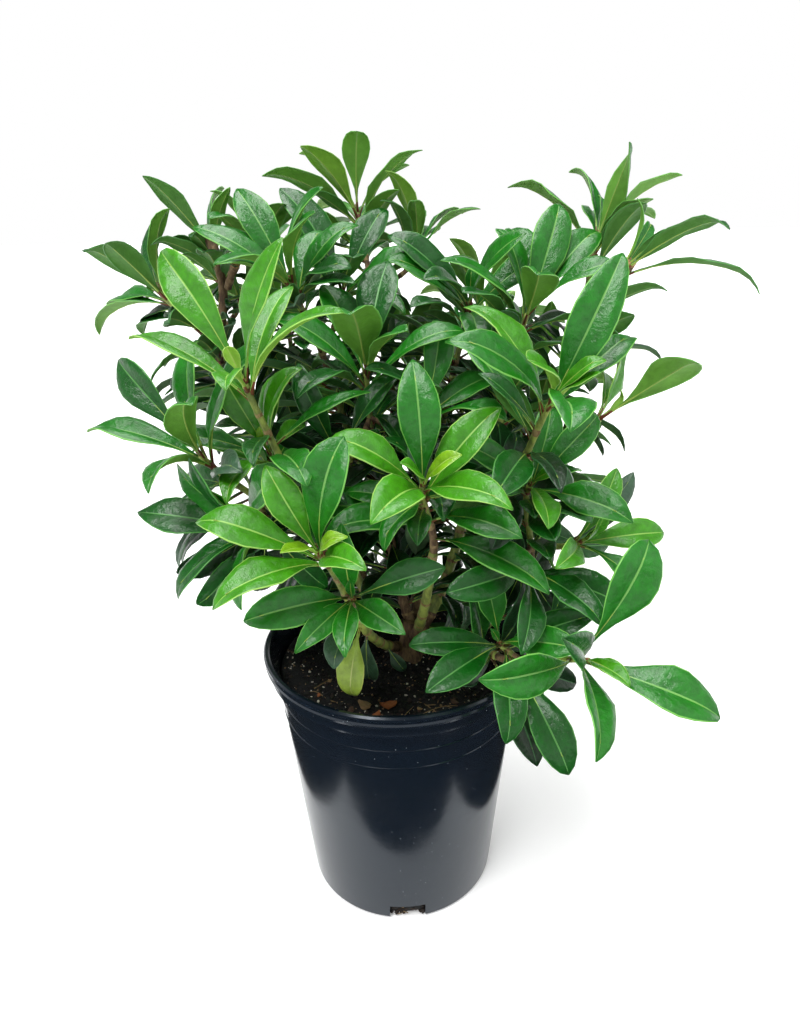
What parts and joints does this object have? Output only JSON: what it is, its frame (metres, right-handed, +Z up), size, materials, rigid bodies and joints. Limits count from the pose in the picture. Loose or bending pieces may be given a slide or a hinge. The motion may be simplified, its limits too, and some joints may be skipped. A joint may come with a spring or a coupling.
{
  "type": "potted skimmia shrub",
  "caption": "Evergreen shrub with upright stems ending in whorls of glossy elliptic leaves, standing in a round black nursery pot of potting mix.",
  "frame": {"origin": "centre of the pot's flat underside", "axes": "+Z up through the pot's axis, front of the plant towards -Y, +X to the right seen from the front"},
  "size_m": [0.4625, 0.4251, 0.5608],
  "materials": {
    "pot": "glossy black moulded plastic, lightly dusty",
    "soil": "loose dark potting mix",
    "bark": "rough brown bark",
    "stem": "satin olive-green young bark with brown leaf scars",
    "leaf": "leathery glossy green leaf with a paler midrib"
  },
  "bodies": {
    "root": {"pot": "pot", "soil": "soil", "trunk": "bark", "stem_front": "stem", "stem_front_left": "stem", "stem_right_low": "stem", "stem_left": "stem", "stem_right": "stem", "stem_middle": "stem", "stem_back": "stem", "stem_back_left": "stem", "stem_back_low": "stem", "bough_low_right": "stem", "bough_right": "stem", "bough_left": "stem", "bough_left_front": "stem", "bough_right_front": "stem", "bough_right_upper": "stem", "bough_top_right": "stem", "bough_right_back": "stem", "bough_middle": "stem", "bough_upper_left": "stem", "bough_top": "stem", "bough_upper_middle": "stem", "bough_back": "stem", "bough_far_left": "stem", "bough_back_left": "stem", "foliage_front": "leaf", "foliage_front_left": "leaf", "foliage_low_right": "leaf", "foliage_right": "leaf", "foliage_left": "leaf", "foliage_left_front": "leaf", "foliage_middle": "leaf", "foliage_upper_left": "leaf", "foliage_far_left": "leaf", "foliage_right_front": "leaf", "foliage_right_upper": "leaf", "foliage_top_right": "leaf", "foliage_right_back": "leaf", "foliage_top": "leaf", "foliage_upper_middle": "leaf", "foliage_back": "leaf", "foliage_back_left": "leaf", "foliage_back_low": "leaf"}
  },
  "joints": []
}
